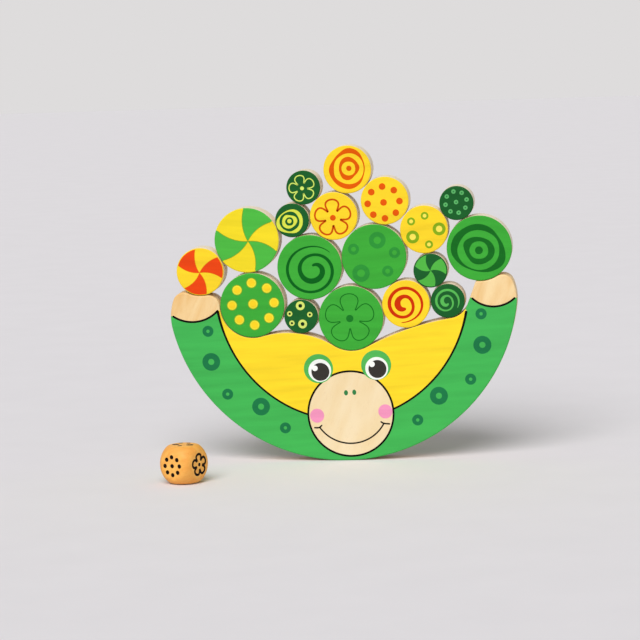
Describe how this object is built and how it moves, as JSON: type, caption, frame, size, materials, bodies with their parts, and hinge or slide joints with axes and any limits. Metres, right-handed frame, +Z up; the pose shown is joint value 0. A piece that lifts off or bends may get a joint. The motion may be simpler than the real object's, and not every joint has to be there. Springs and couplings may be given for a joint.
{
  "type": "balance game",
  "caption": "Wooden balance game: a crescent board printed with an animal face rocks on its round edge and carries loose printed discs, with a rounded motif die.",
  "frame": {"origin": "middle of the narrow flat that the rocker stands on at its resting lean, halfway through the board's thickness, on the table", "axes": "+Z up from the table, +X to the right along the board as seen from the printed front, +Y from the front to the back"},
  "size_m": [0.2034, 0.0986, 0.185],
  "materials": {
    "rocker_board": "beech, screen printed in green and yellow on its faces, clear lacquer",
    "large_disc": "beech, screen printed in mid green on its faces, clear lacquer",
    "medium_disc": "beech, screen printed in yellow on its faces, clear lacquer",
    "small_disc": "beech, screen printed in dark green on its faces, clear lacquer",
    "die_wood": "tumbled beech, black pad print, clear lacquer"
  },
  "bodies": {
    "die": {"motif_die": "die_wood"},
    "rocker": {"rocker": "rocker_board"},
    "large_disc_flower": {"large_disc_flower": "large_disc"},
    "large_disc_spiral": {"large_disc_spiral": "large_disc"},
    "large_disc_swirl": {"large_disc_swirl": "large_disc"},
    "large_disc_dots": {"large_disc_dots": "large_disc"},
    "large_disc_circles": {"large_disc_circles": "large_disc"},
    "large_disc_rings": {"large_disc_rings": "large_disc"},
    "medium_disc_flower": {"medium_disc_flower": "medium_disc"},
    "medium_disc_spiral": {"medium_disc_spiral": "medium_disc"},
    "medium_disc_swirl": {"medium_disc_swirl": "medium_disc"},
    "medium_disc_dots": {"medium_disc_dots": "medium_disc"},
    "medium_disc_circles": {"medium_disc_circles": "medium_disc"},
    "medium_disc_rings": {"medium_disc_rings": "medium_disc"},
    "small_disc_flower": {"small_disc_flower": "small_disc"},
    "small_disc_spiral": {"small_disc_spiral": "small_disc"},
    "small_disc_swirl": {"small_disc_swirl": "small_disc"},
    "small_disc_dots": {"small_disc_dots": "small_disc"},
    "small_disc_circles": {"small_disc_circles": "small_disc"},
    "small_disc_rings": {"small_disc_rings": "small_disc"}
  },
  "joints": [
    {"name": "rock", "type": "hinge", "parent": "die", "child": "rocker", "pos_m": [0, 0, 0.10292], "axis": [0, -1, 0], "range_deg": [-22.5, 17.5]},
    {"name": "large_disc_flower_out", "type": "slide", "parent": "rocker", "child": "large_disc_flower", "axis": [0, -1, 0], "range_m": [0, 0.04]},
    {"name": "large_disc_spiral_out", "type": "slide", "parent": "rocker", "child": "large_disc_spiral", "axis": [0, -1, 0], "range_m": [0, 0.04]},
    {"name": "large_disc_swirl_out", "type": "slide", "parent": "rocker", "child": "large_disc_swirl", "axis": [0, -1, 0], "range_m": [0, 0.04]},
    {"name": "large_disc_dots_out", "type": "slide", "parent": "rocker", "child": "large_disc_dots", "axis": [0, -1, 0], "range_m": [0, 0.04]},
    {"name": "large_disc_circles_out", "type": "slide", "parent": "rocker", "child": "large_disc_circles", "axis": [0, -1, 0], "range_m": [0, 0.04]},
    {"name": "large_disc_rings_out", "type": "slide", "parent": "rocker", "child": "large_disc_rings", "axis": [0, -1, 0], "range_m": [0, 0.04]},
    {"name": "medium_disc_flower_out", "type": "slide", "parent": "rocker", "child": "medium_disc_flower", "axis": [0, -1, 0], "range_m": [0, 0.04]},
    {"name": "medium_disc_spiral_out", "type": "slide", "parent": "rocker", "child": "medium_disc_spiral", "axis": [0, -1, 0], "range_m": [0, 0.04]},
    {"name": "medium_disc_swirl_out", "type": "slide", "parent": "rocker", "child": "medium_disc_swirl", "axis": [0, -1, 0], "range_m": [0, 0.04]},
    {"name": "medium_disc_dots_out", "type": "slide", "parent": "rocker", "child": "medium_disc_dots", "axis": [0, -1, 0], "range_m": [0, 0.04]},
    {"name": "medium_disc_circles_out", "type": "slide", "parent": "rocker", "child": "medium_disc_circles", "axis": [0, -1, 0], "range_m": [0, 0.04]},
    {"name": "medium_disc_rings_out", "type": "slide", "parent": "rocker", "child": "medium_disc_rings", "axis": [0, -1, 0], "range_m": [0, 0.04]},
    {"name": "small_disc_flower_out", "type": "slide", "parent": "rocker", "child": "small_disc_flower", "axis": [0, -1, 0], "range_m": [0, 0.04]},
    {"name": "small_disc_spiral_out", "type": "slide", "parent": "rocker", "child": "small_disc_spiral", "axis": [0, -1, 0], "range_m": [0, 0.04]},
    {"name": "small_disc_swirl_out", "type": "slide", "parent": "rocker", "child": "small_disc_swirl", "axis": [0, -1, 0], "range_m": [0, 0.04]},
    {"name": "small_disc_dots_out", "type": "slide", "parent": "rocker", "child": "small_disc_dots", "axis": [0, -1, 0], "range_m": [0, 0.04]},
    {"name": "small_disc_circles_out", "type": "slide", "parent": "rocker", "child": "small_disc_circles", "axis": [0, -1, 0], "range_m": [0, 0.04]},
    {"name": "small_disc_rings_out", "type": "slide", "parent": "rocker", "child": "small_disc_rings", "axis": [0, -1, 0], "range_m": [0, 0.04]}
  ]
}
